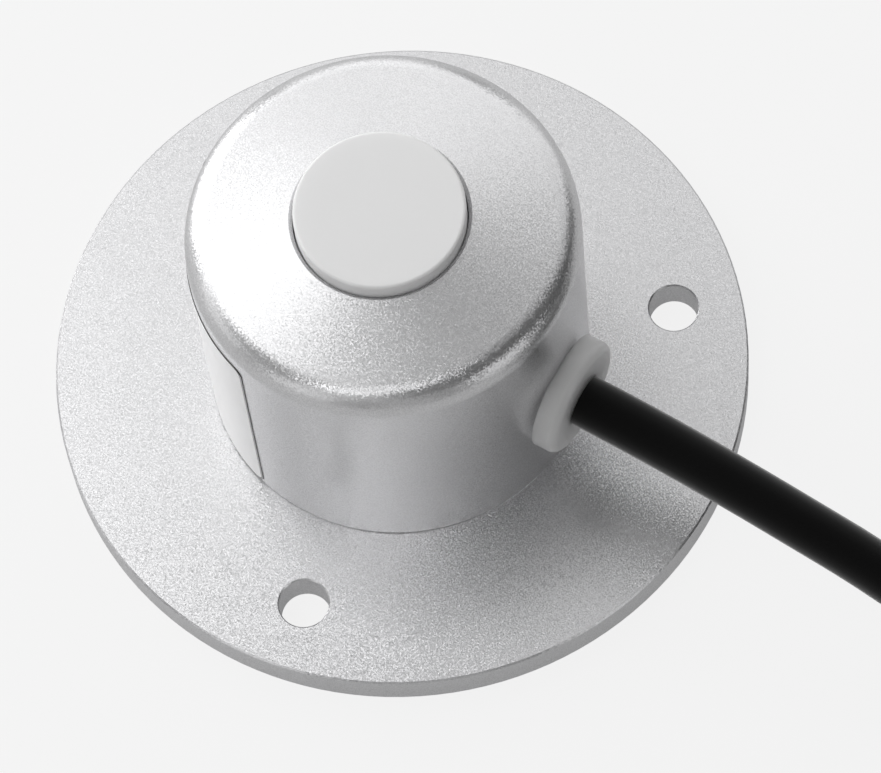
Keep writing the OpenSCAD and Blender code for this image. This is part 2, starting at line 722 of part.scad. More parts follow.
module cable_bush() color("lightgray") difference() {
    union() {
        along_x(housing_r + fit, gland_z) rotate_extrude()
            round_top_outline(bush_head_d / 2, 0, bush_out - fit, bush_round);
        along_x(neck_x, gland_z) cylinder(r = neck_r, h = housing_r + bush_out / 2 - neck_x);
    }
    along_x(neck_x - 1, gland_z) cylinder(r = bush_bore_r, h = bush_front - neck_x + 2);
    along_x(neck_x - 1, gland_z) cylinder(r = seal_r + fit, h = seal_end - neck_x + 1);
}

module cable_seal() color("dimgray") along_x(seal_x, gland_z) pipe(seal_r, cable_r, seal_end - seal_x);

module gland_clamp() color("gainsboro") along_x(clamp_x, gland_z) pipe(seal_r, cable_r + fit, clamp_len);

module gland_washer() color("silver")
    along_x(nut_flat_x - washer_t, gland_z) pipe(washer_r, neck_r + fit, washer_t);

module gland_locknut() color("gold") along_x(nut_x, gland_z) difference() {
    hex(nut_af, nut_t);
    translate([0, 0, -1]) cylinder(r = neck_r + fit, h = nut_t + 2);
}

module cable_entry() color("#111111")
    along_x(entry_x, gland_z) cylinder(r = cable_r, h = bush_front - entry_x);

// The blank label lies on the wall as a thin curved sheet
module label_band(arc, low, high) rotate(180 - arc / 2) rotate_extrude(angle = arc)
    translate([housing_r, low]) square([label_t, high - low]);

// What rounds off one corner of the label, from the centre of its rounding outwards
module label_corner_cut(side, up) difference() {
    translate([housing_r - 1, side > 0 ? 0 : -2 * label_corner, up > 0 ? 0 : -2 * label_corner])
        cube([label_t + 2, 2 * label_corner, 2 * label_corner]);
    along_x(housing_r - 2, 0) cylinder(r = label_corner, h = label_t + 4);
}

module rating_label() color("white") {
    inset = label_corner - label_corner_lap;
    inset_arc = inset / housing_r * 180 / PI;
    difference() {
        label_band(label_arc, label_low, label_high);
        for (side = [-1, 1], up = [-1, 1]) rotate(180 + side * (label_arc / 2 - inset_arc))
            translate([0, 0, up > 0 ? label_high - inset : label_low + inset])
                label_corner_cut(side, up);
    }
}

module cable_run() color("#111111") tube(run_points, cable_r, run_sides, [1, 0, 0], [1, 0, 0]);

module cable_coil() color("#111111") tube(coil_path, cable_r, coil_sides, [1, 0, 0], coil_end_way);

// The turns of the coil that a plane at an angle round it cuts, as [radius, height]
function turns_at(angle) =
    let (first = (angle - coil_start_angle) / 360 - floor((angle - coil_start_angle) / 360))
    [for (t = [first : 1 : all_turns]) [coil_radius(t), coil_height(t)]];

module tie_outline(angle, spread) hull() for (p = turns_at(angle))
    translate(p) circle(r = cable_r + spread, $fn = 32);

module coil_ties() color("#e8e8e8") for (angle = tie_angles)
    translate(coil_centre) rotate(angle) rotate([90, 0, 0]) {
        widest = max([for (p = turns_at(angle)) p[0]]) + cable_r + tie_gap;
        linear_extrude(tie_w, center = true) difference() {
            tie_outline(angle, tie_gap + tie_t);
            tie_outline(angle, tie_gap);
        }
        translate([widest + tie_t / 2, coil_z + layer_pitch / 2, -tie_head[1] / 2])
            cube([tie_head[0], tie_head[1], tie_head[1]]);
    }

// The sleeve and the leads at the far end lie on the upper turns of the coil
module jacket_sleeve() color("#181818") translate(sleeve_start)
    rotate([0, 0, coil_angle(all_turns) + 90]) rotate([0, 90, 0]) rotate_extrude()
        round_top_outline(sleeve_r, 0, sleeve_len, sleeve_round);

function lead_start(i) =
    sleeve_end + core_offset * (lead_corners[i][0] * coil_across + [0, 0, lead_corners[i][1]]);
function lead_finish(i) =
    coil_centre + [lead_radii[i] * cos(lead_end_angle), lead_radii[i] * sin(lead_end_angle), lead_z];

module lead(i) {
    a = lead_start(i);
    d = lead_finish(i);
    tube(curve(a, a + lead_pull[0] * coil_end_way, d - lead_pull[1] * along(lead_end_angle), d,
               lead_steps), core_r, lead_facets, coil_end_way, along(lead_end_angle));
}

module lead_brown() color("saddlebrown") lead(0);
module lead_black() color("#151515") lead(1);
module lead_yellow() color("gold") lead(2);
module lead_blue() color("mediumblue") lead(3);

module lead_ferrules() color("silver") for (i = [0 : 3])
    translate(lead_finish(i)) rotate(lead_end_angle + 90) rotate([0, 90, 0]) {
        cylinder(r = ferrule_collar_r, h = ferrule_collar_len);
        cylinder(r = ferrule_d / 2, h = ferrule_collar_len + ferrule_len);
    }

base_flange();
base_oring();
base_screws();
housing();
diffuser();
diffuser_gasket();
retaining_ring();
optical_filter();
photodiode_base();
photodiode_can();
photodiode_window();
photodiode_chip();
sensor_board();
sensor_amplifier();
gain_trimmer();
sensor_passives();
upper_standoffs();
lower_standoffs();
board_screws();
main_board();
microcontroller();
bus_transceiver();
voltage_regulator();
power_inductor();
storage_capacitors();
surge_diodes();
reset_fuse();
clock_crystal();
main_passives();
stacking_socket();
stacking_pins();
wire_header();
wire_plug();
wire_brown();
wire_black();
wire_yellow();
wire_blue();
cable_bush();
cable_seal();
gland_clamp();
gland_washer();
gland_locknut();
cable_entry();
rating_label();
cable_run();
cable_coil();
coil_ties();
jacket_sleeve();
lead_brown();
lead_black();
lead_yellow();
lead_blue();
lead_ferrules();
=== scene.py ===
# %% [markdown]
# # A flange-mounted light sensor
# The sensor measures daylight for plants. A white diffuser spreads the light onto a photodiode
# inside a turned aluminium housing, which stands on a round flange. One black cable leaves through
# a bush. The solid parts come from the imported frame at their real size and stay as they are. This
# script gives every surface its finish, models the cable with its coil, ties and bare end, and
# lights the whole as a small product photograph.

# %% Load the frame
import json
import math

import bpy
from mathutils import Matrix, Vector


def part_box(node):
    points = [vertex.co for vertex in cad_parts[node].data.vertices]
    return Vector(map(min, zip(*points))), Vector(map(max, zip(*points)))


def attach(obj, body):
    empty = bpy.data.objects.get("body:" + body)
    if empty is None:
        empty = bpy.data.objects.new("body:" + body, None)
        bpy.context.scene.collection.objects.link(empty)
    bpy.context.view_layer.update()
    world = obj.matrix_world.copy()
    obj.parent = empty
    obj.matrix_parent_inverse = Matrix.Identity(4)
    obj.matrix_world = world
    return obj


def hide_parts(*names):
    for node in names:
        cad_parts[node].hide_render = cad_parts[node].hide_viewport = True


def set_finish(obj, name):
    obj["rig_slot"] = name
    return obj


MM = 0.001
UP = Vector((0, 0, 1))

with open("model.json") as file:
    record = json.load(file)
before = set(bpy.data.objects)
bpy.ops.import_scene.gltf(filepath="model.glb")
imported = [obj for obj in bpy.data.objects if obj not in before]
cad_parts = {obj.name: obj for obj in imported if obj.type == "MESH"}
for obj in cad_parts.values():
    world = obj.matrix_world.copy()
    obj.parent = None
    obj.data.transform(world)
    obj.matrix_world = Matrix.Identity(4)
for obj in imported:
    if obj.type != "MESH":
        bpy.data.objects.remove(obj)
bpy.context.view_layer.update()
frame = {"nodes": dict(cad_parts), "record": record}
nodes = frame["nodes"]

# %% [markdown]
# ## The camera
# A product photograph is taken from some way off with a long lens, so that circles stay calm
# ovals. The lens is given by the picture's own numbers: how many picture points one unit of slope
# covers. The camera's place follows from its height angle, its turn round the object and its
# distance, its roll tilts the picture, and a small shift frames it. A camera in Blender looks along
# its own -Z, so the third column of its matrix is the direction from the object to the camera.

# %% Camera
PICTURE_WIDTH_PX = 881
FOCAL_PX = 5019.1
SENSOR_MM = 36.0
CLIP_NEAR = 0.05
CLIP_FAR = 20
CAMERA_TURN = math.radians(36.8)
CAMERA_HEIGHT = math.radians(66.01)
CAMERA_ROLL = math.radians(-7.5)
CAMERA_DISTANCE = 582.77 * MM
SHIFT_RIGHT = 4.30 * MM
SHIFT_DOWN = 1.47 * MM


def from_view(x, y, z):
    """A direction given as right, away and up, as seen from behind the camera."""
    return Matrix.Rotation(CAMERA_TURN, 3, "Z") @ Vector((x, y, z))


to_camera = from_view(0, -math.cos(CAMERA_HEIGHT), math.sin(CAMERA_HEIGHT))
level = from_view(1, 0, 0)
picture_right = math.cos(CAMERA_ROLL) * level + math.sin(CAMERA_ROLL) * to_camera.cross(level)
picture_up = to_camera.cross(picture_right)

camera_data = bpy.data.cameras.new("camera")
camera_data.sensor_width = SENSOR_MM
camera_data.lens = FOCAL_PX / PICTURE_WIDTH_PX * SENSOR_MM
camera_data.clip_start = CLIP_NEAR
camera_data.clip_end = CLIP_FAR
camera = bpy.data.objects.new("camera", camera_data)
camera.matrix_world = Matrix.LocRotScale(
    to_camera * CAMERA_DISTANCE + picture_right * SHIFT_RIGHT - picture_up * SHIFT_DOWN,
    Matrix((picture_right, picture_up, to_camera)).transposed().to_quaternion(),
    None,
)
bpy.context.scene.collection.objects.link(camera)
bpy.context.scene.camera = camera
print(f"camera: lens {camera_data.lens:.1f} mm, {CAMERA_DISTANCE:.3f} m away")

# %% [markdown]
# ## The cable's free stretch
# The cable leaves the bush straight and sinks onto the surface under its own weight. A simulation
# could drop it, but its first stretch shows in the picture and has to lie just so. It is therefore
# a short list of points, in millimetres, joined by a smooth curve. It sinks to the height of the
# coil's lowest layer, which lies a strap's thickness above the surface.

# %% Free stretch of cable
CABLE_RADIUS = 3.0 * MM
TIE_THICKNESS = 1.0 * MM
TIE_GAP = 0.1 * MM
COIL_HEIGHT = CABLE_RADIUS + TIE_GAP + TIE_THICKNESS
STEPS_BETWEEN_POINTS = 3

bush_low, bush_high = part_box("cable_bush")
cable_exit = Vector((bush_high.x, 0, (bush_low.z + bush_high.z) / 2))
run_points = [cable_exit] + [
    Vector(point) * MM
    for point in [
        (34, 0, 18.7), (43, 0, 17.4), (52, 0, 15.6), (61, 0, 13.4), (70, -0.6, 11),
        (79, -2.4, 8.5), (88, -5.4, 6.3), (96, -8.6, 4.9), (103, -11, 4.3),
        (110, -12, COIL_HEIGHT / MM),
    ]
]
run_way = Vector((1, 0, 0))


def smooth_line(points, first_way, last_way, steps):
    """Points on a smooth curve through the given ones, with the given directions at its ends."""
    ways = [first_way * (points[1] - points[0]).length]
    ways += [(after - before) / 2 for before, after in zip(points, points[2:])]
    ways.append(last_way * (points[-1] - points[-2]).length)
    line = [points[0]]
    for a, b, way_a, way_b in zip(points, points[1:], ways, ways[1:]):
        for t in [step / steps for step in range(1, steps + 1)]:
            from_a = (2 * t**3 - 3 * t**2 + 1) * a + (t**3 - 2 * t**2 + t) * way_a
            line.append(from_a + (3 * t**2 - 2 * t**3) * b + (t**3 - t**2) * way_b)
    return line


run_line = smooth_line(run_points, run_way, run_way, STEPS_BETWEEN_POINTS)
print(f"free stretch: {len(run_line)} points")

# %% [markdown]
# ## The coil of spare cable
# Such a sensor comes with about two metres of cable, wound into a neat coil. Rings laid side by
# side would look like a coil, but would not be one cable. So the coil is worked out by a rule from
# its first turn to its last: its layers spiral in and out in turn, and the cable climbs to the next
# layer where the spiral reverses. Both changes are eased, so that no bend is sharp.

# %% The coil's rule
LAYER_TURNS = 2.6
ALL_TURNS = 8.9
REVERSALS = 3
COIL_INNER_RADIUS = 24.7 * MM
TURN_PITCH = 6.7 * MM
LAYER_PITCH = 6.5 * MM
TURN_BLEND = 0.25
COIL_START_DEGREES = -90
COIL_OUTER_RADIUS = COIL_INNER_RADIUS + TURN_PITCH * LAYER_TURNS


def smooth_step(value):
    """A smooth step from 0 to 1 while value goes from 0 to 1."""
    share = min(1, max(0, value))
    return share * share * (3 - 2 * share)


def soft_turns(turns):
    """Turns away from the place where the spiral reverses, rounded off near it."""
    away = abs(turns)
    return (turns**2 + TURN_BLEND**2) / (2 * TURN_BLEND) if away < TURN_BLEND else away


def coil_radius(turns):
    reversal = min(REVERSALS, round(turns / LAYER_TURNS))
    if reversal == 0:
        return COIL_OUTER_RADIUS - TURN_PITCH * turns
    away = TURN_PITCH * soft_turns(turns - reversal * LAYER_TURNS)
    return COIL_INNER_RADIUS + away if reversal % 2 else COIL_OUTER_RADIUS - away


def coil_height(turns):
    past = [turns - layer * LAYER_TURNS for layer in range(1, REVERSALS + 1)]
    return COIL_HEIGHT + LAYER_PITCH * sum(smooth_step(p / (2 * TURN_BLEND) + 0.5) for p in past)


print(f"coil: {ALL_TURNS} turns, radius {COIL_INNER_RADIUS:.4f} to {COIL_OUTER_RADIUS:.4f} m")

# %% The coil's line
STRAIGHT_END = 2 * CABLE_RADIUS
POINTS_PER_TURN = 40
COIL_CENTRE = run_points[-1] + Vector((STRAIGHT_END, COIL_OUTER_RADIUS, -COIL_HEIGHT))


def outwards(angle):
    return Vector((math.cos(angle), math.sin(angle), 0))


def onwards(angle):
    return Vector((-math.sin(angle), math.cos(angle), 0))


def coil_angle(turns):
    return math.radians(COIL_START_DEGREES + 360 * turns)


def coil_point(turns):
    flat = coil_radius(turns) * outwards(coil_angle(turns))
    return COIL_CENTRE + flat + coil_height(turns) * UP


coil_steps = round(ALL_TURNS * POINTS_PER_TURN)
coil_line = [coil_point(step * ALL_TURNS / coil_steps) for step in range(coil_steps + 1)]
end_way = onwards(coil_angle(ALL_TURNS))
cable_end = coil_line[-1] + STRAIGHT_END * end_way
cable_line = run_line + coil_line + [cable_end]
cable_length = sum((b - a).length for a, b in zip(cable_line, cable_line[1:]))
print(f"cable: {cable_length:.3f} m long, in {len(cable_line)} points")

# %% [markdown]
# ## Tubes
# The cable and its cores are round tubes. A tube could be a mesh, but here it is a curve object
# with a round bevel: its line stays editable and Blender makes the skin. A poly spline is chosen,
# because it goes through every point, so that the route stays exactly where it was worked out.

# %% Tube helper and the cable
CABLE_ROUNDING = 6


def add_piece(name, data, slot):
    """Puts a piece into the scene, riding on the sensor's one body."""
    piece = bpy.data.objects.new(name, data)
    bpy.context.scene.collection.objects.link(piece)
    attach(piece, "root")
    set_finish(piece, slot)
    return piece


def tube(name, line, radius, rounding, slot):
    """A curve of one open spline with closed ends. Its points carry the section's true radius."""
    data = bpy.data.curves.new(name, "CURVE")
    data.dimensions = "3D"
    data.bevel_depth = 1
    data.bevel_resolution = rounding
    data.use_fill_caps = True
    spline = data.splines.new("POLY")
    spline.points.add(len(line) - 1)
    for spot, point in zip(spline.points, line):
        spot.co = (*point, 1)
        spot.radius = radius
    spline.use_smooth = True
    return add_piece(name, data, slot)


cable = tube("cable", cable_line, CABLE_RADIUS, CABLE_ROUNDING, "cable_black")
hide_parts("cable_run", "cable_coil")
print(f"cable tube: {2 * CABLE_RADIUS / MM:.1f} mm thick")

# %% [markdown]
# ## Lofts
# Straps, sleeves and turned pieces are all rings of points that follow each other. A loft joins
# such rings into a closed mesh, so one helper makes them all. Faces are shaded smooth, and an edge
# that turns by more than the sharp angle stays crisp, as on a moulding.

# %% Loft helper
SHARP_ANGLE = math.radians(40)


def loft(name, shells, slot):
    """A mesh of closed shells. Each is its rings, and whether its last ring meets its first."""
    points = []
    faces = []
    for rings, closed in shells:
        first = len(points)
        count = len(rings[0])
        for ring in rings:
            points += ring
        spans = len(rings) if closed else len(rings) - 1
        for row in range(spans):
            low = first + row * count
            high = first + (row + 1) % len(rings) * count
            for i in range(count):
                j = (i + 1) % count
                faces.append((low + i, low + j, high + j, high + i))
        if not closed:
            faces.append(tuple(first + i for i in reversed(range(count))))
            faces.append(tuple(first + (len(rings) - 1) * count + i for i in range(count)))
    mesh = bpy.data.meshes.new(name)
    mesh.from_pydata(points, [], faces)
    mesh.shade_smooth()
    mesh.set_sharp_from_angle(angle=SHARP_ANGLE)
    return add_piece(name, mesh, slot)


# %% [markdown]
# ## The coil's ties
# A nylon tie is a flat strap with raised edges. Its tail runs through a small square head that
# locks it, and the end is cut off just above the head. Round a bundle the strap takes the shape of
# a rubber band. That shape has a short rule: in each direction it lies where the outermost cable of
# the bundle is, one cable radius further out. A loft carries the strap's section round that line.

# %% Strap
TIE_SECTION = [
    (-2.25, 0.2), (-2.1, 0), (2.1, 0), (2.25, 0.2), (2.25, 0.85), (2.1, 1.0),
    (1.55, 1.0), (1.35, 0.8), (-1.35, 0.8), (-1.55, 1.0), (-2.1, 1.0), (-2.25, 0.85),
]
STRAP_STEPS = 120


def outermost(centres, angle):
    """The one of several points in a plane that lies furthest in a direction."""
    return max(centres, key=lambda c: c[0] * math.cos(angle) + c[1] * math.sin(angle))


def strap_rings(cables, across, along):
    """The strap's sections round a bundle, whose cables are given by radius and height."""
    rings = []
    for step in range(STRAP_STEPS):
        turn = math.tau * step / STRAP_STEPS
        radius, height = outermost(cables, turn)
        normal = math.cos(turn) * across + math.sin(turn) * UP
        inner = COIL_CENTRE + radius * across + height * UP + (CABLE_RADIUS + TIE_GAP) * normal
        rings.append([inner + out * MM * normal + side * MM * along for side, out in TIE_SECTION])
    return rings


print(f"strap: {len(TIE_SECTION)} points in its section, {STRAP_STEPS} sections round the bundle")

# %% Head and tail
HEAD_DEPTH = 3.0 * MM
HEAD_SIDE = 5.2 * MM
HEAD_BEVEL = 0.5 * MM
SLOT_SIZE = (1.5 * MM, 4.4 * MM)
SLOT_CORNER = 0.2 * MM
SLOT_DEPTH = 1.2 * MM
TAIL_SIZE = (1.1 * MM, 4.1 * MM)
TAIL_CORNER = 0.15 * MM
TAIL_HIDDEN = 1.6 * MM
TAIL_SHOWN = 1.6 * MM
CORNER_SIDES = [(1, 1), (-1, 1), (-1, -1), (1, -1)]
CORNER_STEPS = 4


def rounded_ring(foot, across, along, size, corner, height):
    """A ring of points round a rectangle with round corners, at a height above its foot."""
    ring = []
    for quarter, (side_a, side_b) in enumerate(CORNER_SIDES):
        for step in range(CORNER_STEPS + 1):
            turn = math.radians(90 * (quarter + step / CORNER_STEPS))
            a = side_a * (size[0] / 2 - corner) + corner * math.cos(turn)
            b = side_b * (size[1] / 2 - corner) + corner * math.sin(turn)
            ring.append(foot + a * across + b * along + height * UP)
    return ring


def head_rings(foot, across, along):
    """The head's sections from its foot up, and down again into the slot for the tail."""
    full = (HEAD_DEPTH, HEAD_SIDE)
    small = (HEAD_DEPTH - 2 * HEAD_BEVEL, HEAD_SIDE - 2 * HEAD_BEVEL)
    sections = [
        (small, HEAD_BEVEL, 0),
        (full, HEAD_BEVEL, HEAD_BEVEL),
        (full, HEAD_BEVEL, HEAD_SIDE - HEAD_BEVEL),
        (small, HEAD_BEVEL, HEAD_SIDE),
        (SLOT_SIZE, SLOT_CORNER, HEAD_SIDE),
        (SLOT_SIZE, SLOT_CORNER, HEAD_SIDE - SLOT_DEPTH),
    ]
    return [rounded_ring(foot, across, along, *section) for section in sections]


def tail_rings(foot, across, along):
    heights = (HEAD_SIDE - TAIL_HIDDEN, HEAD_SIDE + TAIL_SHOWN)
    return [rounded_ring(foot, across, along, TAIL_SIZE, TAIL_CORNER, h) for h in heights]


print(f"head: {HEAD_SIDE / MM:.1f} mm wide, its tail shows {TAIL_SHOWN / MM:.1f} mm")

# %% Ties
TIE_DEGREES = (45, 135)


def coil_tie(name, degrees):
    """A tie round all the turns that pass one place of the coil, with its head outside."""
    across = outwards(math.radians(degrees))
    along = onwards(math.radians(degrees))
    start = (degrees - COIL_START_DEGREES) / 360 % 1
    turns = [start + k for k in range(math.floor(ALL_TURNS - start) + 1)]
    cables = [(coil_radius(t), coil_height(t)) for t in turns]
    widest = max(radius for radius, height in cables) + CABLE_RADIUS + TIE_GAP + TIE_THICKNESS / 2
    foot = COIL_CENTRE + (widest + HEAD_DEPTH / 2) * across
    foot += (COIL_HEIGHT + LAYER_PITCH / 2) * UP
    shells = [
        (strap_rings(cables, across, along), True),
        (head_rings(foot, across, along), False),
        (tail_rings(foot, across, along), False),
    ]
    tie = loft(name, shells, "tie_nylon")
    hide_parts("coil_ties")
    return tie


ties = [coil_tie(f"coil_tie_{i + 1}", degrees) for i, degrees in enumerate(TIE_DEGREES)]
print(f"ties: {len(ties)}, each with {len(ties[0].data.polygons)} faces")

# %% [markdown]
# ## The sleeve at the cable's bare end
# The installer wires the four cores to terminals, so the jacket ends in a shrunk sleeve. A plain
# cone would not show the cores under it. The sleeve is a loft from a circle to the outline of the
# four cores, which is how heat shrinks a real one. Each of its stations gives a distance and a
# radius in millimetres, and how far it is shrunk.

# %% Sleeve
CORE_RADIUS = 0.65 * MM
CORE_OFFSET = 0.95 * MM
CORE_CORNERS = [(1, -1), (1, 1), (-1, 1), (-1, -1)]
SLEEVE_WALL = 0.35 * MM
SLEEVE_SIDES = 48
SLEEVE_LENGTH = 10 * MM
SLEEVE_STATIONS = [
    (0, 3.12, 0), (0.15, 3.35, 0), (4.6, 3.35, 0), (5.4, 3.28, 0.1), (6.2, 3.1, 0.35),
    (7, 2.9, 0.65), (7.8, 2.8, 0.9), (8.6, 2.8, 1), (9.8, 2.8, 1), (10, 2.6, 1.05),
]
end_across = Vector((end_way.y, -end_way.x, 0))


def core_place(corner):
    return CORE_OFFSET * (corner[0] * end_across + corner[1] * UP)


def sleeve_ring(distance, radius, shrunk):
    """A section of the sleeve: a circle of a radius in mm, drawn in to the cores by a share."""
    ring = []
    for step in range(SLEEVE_SIDES):
        turn = math.tau * step / SLEEVE_SIDES
        normal = math.cos(turn) * end_across + math.sin(turn) * UP
        core = core_place(outermost(CORE_CORNERS, turn)) + (CORE_RADIUS + SLEEVE_WALL) * normal
        point = (1 - shrunk) * radius * MM * normal + shrunk * core
        ring.append(cable_end + distance * MM * end_way + point)
    return ring


sleeve_rings = [sleeve_ring(*station) for station in SLEEVE_STATIONS]
sleeve = loft("jacket_end_sleeve", [(sleeve_rings, False)], "cable_black")
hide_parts("jacket_sleeve")
print(f"sleeve: {len(sleeve.data.polygons)} faces")

# %% [markdown]
# ## Leads and ferrules
# Each core ends in a ferrule, a crimped metal pin under a short plastic collar. The leads fan out
# over the coil, so each is a tube on a curve that leaves the sleeve straight and reaches its
# ferrule straight. Collars and pins are turned shapes, which need no more than a list of distances
# and radii in millimetres.

# %% Turned pieces
COLLAR = [(0, 0.72), (0, 1.0), (0.12, 1.05), (3.5, 1.05), (3.8, 0.98), (4, 0.8)]
PIN_CRIMPS = [(3.9 + 0.5 * i, 0.55 if i % 2 else 0.46) for i in range(11)]
PIN = [(3.6, 0.55)] + PIN_CRIMPS + [(9.7, 0.52), (10, 0.4)]
TURNED_SIDES = 24


def turned(name, start, way, profile, slot):
    """A round piece along a level line, from distances along it and radii in mm."""
    side = way.cross(UP)
    turns = [math.tau * step / TURNED_SIDES for step in range(TURNED_SIDES)]
    normals = [math.cos(turn) * side + math.sin(turn) * UP for turn in turns]
    rings = [
        [start + distance * MM * way + radius * MM * normal for normal in normals]
        for distance, radius in profile
    ]
    return loft(name, [(rings, False)], slot)


print(f"ferrule: {PIN[-1][0]} mm long, {len(PIN)} rings on its pin")

# %% Leads with their ferrules
CORE_COLOURS = ("brown", "black", "yellow", "blue")
CORE_ROUNDING = 4
LEAD_END_ANGLE = math.radians(320)
LEAD_END_RADII = [38.5 * MM, 36.1 * MM, 33.7 * MM, 31.3 * MM]
LEAD_ABOVE_COIL = 1.25 * MM
LEAD_END_HEIGHT = COIL_HEIGHT + 2 * LAYER_PITCH + CABLE_RADIUS + LEAD_ABOVE_COIL
LEAD_PULL = (11 * MM, 14 * MM)
LEAD_STEPS = 20
INSIDE_SLEEVE = 1.5 * MM
lead_end_way = onwards(LEAD_END_ANGLE)
sleeve_end = cable_end + SLEEVE_LENGTH * end_way


def bezier(a, b, c, d, steps):
    """Points on the curve from a to d that b and c pull towards them."""
    for t in [step / steps for step in range(steps + 1)]:
        yield (1 - t) ** 3 * a + 3 * t * (1 - t) ** 2 * b + 3 * t**2 * (1 - t) * c + t**3 * d


cord_pieces = [*ties, sleeve]
for colour, corner, radius in zip(CORE_COLOURS, CORE_CORNERS, LEAD_END_RADII):
    start = sleeve_end + core_place(corner)
    tip = COIL_CENTRE + radius * outwards(LEAD_END_ANGLE) + LEAD_END_HEIGHT * UP
    pulled = (start + LEAD_PULL[0] * end_way, tip - LEAD_PULL[1] * lead_end_way)
    line = [start - INSIDE_SLEEVE * end_way, *bezier(start, *pulled, tip, LEAD_STEPS)]
    lead = tube(f"core_{colour}", line, CORE_RADIUS, CORE_ROUNDING, f"wire_{colour}")
    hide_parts(f"lead_{colour}")
    collar = turned(f"ferrule_collar_{colour}", tip, lead_end_way, COLLAR, "tie_nylon")
    pin = turned(f"ferrule_pin_{colour}", tip, lead_end_way, PIN, "steel")
    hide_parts("lead_ferrules")
    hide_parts("lead_ferrules")
    cord_pieces += [lead, collar, pin]
print(f"pieces on the cable: {len(cord_pieces)}")

# %% [markdown]
# ## The cable's length
# To Blender the cable is only a curve.

print(f"declared: {round(cable_length, 2)} m of cable")

# %% [markdown]
# ## Shader maths as plain Python
# A procedural finish is a small sum: some noise, stretched and added up, that drives colour,
# roughness or relief. Written node by node it is long and hard to read. So one small class stands
# for a shader value and adds Math nodes when it is added or multiplied, and one method makes every
# other node.

# %% Shader values
class Value:
    """A value inside a node tree. Arithmetic on it adds Math nodes."""

    def __init__(self, graph, socket):
        self.graph = graph
        self.socket = socket

    def beside(self, output):
        """Another output of the node that this value comes from."""
        return Value(self.graph, self.socket.node.outputs[output])

    def math(self, operation, *others):
        sockets = dict(enumerate((self, *others)))
        return self.graph.node("ShaderNodeMath", {"operation": operation}, sockets)

    def __add__(self, other):
        return self.math("ADD", other)

    def __sub__(self, other):
        return self.math("SUBTRACT", other)

    def __rsub__(self, other):
        return self.graph.node("ShaderNodeMath", {"operation": "SUBTRACT"}, {0: other, 1: self})

    def __mul__(self, other):
        return self.math("MULTIPLY", other)

    def __pow__(self, other):
        return self.math("POWER", other)

    def __abs__(self):
        return self.math("ABSOLUTE")

    __radd__ = __add__
    __rmul__ = __mul__


# %% One way to add a node
class Graph:
    """A node tree that nodes are added to with one method."""

    def __init__(self, tree):
        self.tree = tree

    def node(self, kind, settings=None, sockets=None, out=0):
        """Adds a node: its settings first, then the values or links of its sockets."""
        made = self.tree.nodes.new(kind)
        for name, value in (settings or {}).items():
            setattr(made, name, value)
        for name, value in (sockets or {}).items():
            self.put(made.inputs[name], value)
        return Value(self, made.outputs[out])

    def put(self, socket, value):
        if isinstance(value, Value):
            self.tree.links.new(value.socket, socket)
        else:
            socket.default_value = value


# %% [markdown]
# ## What all finishes share
# Every finish here is one Principled shader. What is even all over goes onto the shader itself,
# and what varies comes from noise in the object's own space, in metres, so that a grain keeps its
# real size on every piece. Colours are mixed between a darker and a lighter shade of one colour.
# A Mix node keeps a set of sockets for each kind of data, so those for colours go by number.

# %% A finish
COLOUR_SOCKETS = (6, 7)
COLOUR_RESULT = 2


def grey(tone):
    return (tone, tone, tone, 1)


def shade(colour, factor):
    """A colour made lighter or darker, kept below white."""
    return (*(min(1, channel * factor) for channel in colour[:3]), 1)


class Finish(Graph):
    """A material with one Principled shader, whose even values are set on the shader itself."""

    def __init__(self, name, even=None):
        self.material = bpy.data.materials.new(name)
        self.material.use_nodes = True
        super().__init__(self.material.node_tree)
        self.shader = self.tree.nodes["Principled BSDF"]
        self.place = self.node("ShaderNodeTexCoord", out="Object")
        for socket, value in (even or {}).items():
            self.shader.inputs[socket].default_value = value

    def surface(self, colour, roughness, normal=None):
        self.put(self.shader.inputs["Base Color"], colour)
        self.put(self.shader.inputs["Roughness"], roughness)
        if normal is not None:
            self.put(self.shader.inputs["Normal"], normal)
        return self.material

    def noise(self, grain, detail=2.0, stretch=None, out=0):
        """Noise from 0 to 1 whose blots are about grain metres across."""
        place = self.place
        if stretch:
            factors = {0: place, 1: stretch}
            place = self.node("ShaderNodeVectorMath", {"operation": "MULTIPLY"}, factors)
        sockets = {"Vector": place, "Scale": 1 / grain, "Detail": detail}
        return self.node("ShaderNodeTexNoise", None, sockets, out)

    def ramp(self, value, low, high):
        """A smooth step from 0 to 1 while value goes from low to high."""
        sockets = {"Value": value, "From Min": low, "From Max": high}
        return self.node("ShaderNodeMapRange", {"interpolation_type": "SMOOTHSTEP"}, sockets)

    def mix(self, share, first, second):
        """A colour between two colours."""
        sockets = {0: share, COLOUR_SOCKETS[0]: first, COLOUR_SOCKETS[1]: second}
        return self.node("ShaderNodeMix", {"data_type": "RGBA"}, sockets, COLOUR_RESULT)

    def shades(self, share, colour, darker, lighter):
        """A colour between two of its own shades."""
        return self.mix(share, shade(colour, darker), shade(colour, lighter))

    def bump(self, height, depth):
        """A normal from a height of 0 to 1 that stands for depth metres."""
        return self.node("ShaderNodeBump", None, {"Distance": depth, "Height": height})


record_colours = {m["slot"]: m["base_color"] for m in frame["record"]["materials"]}
print(f"colours in the record: {len(record_colours)}")

# %% [markdown]
# ## Bead-blasted aluminium
# Glass beads blasted at turned aluminium leave a skin of tiny overlapping dents, which clear
# anodising then seals. From a hand's width it reads as a soft silver with a fine sparkle. A bump of
# noise would look like leather here, because its hills and valleys hang together. So each grain
# leans the normal its own way instead, by the three channels of a noise colour, and the sparkle
# follows the light. A weak drift in gloss and tone keeps large faces from looking printed.

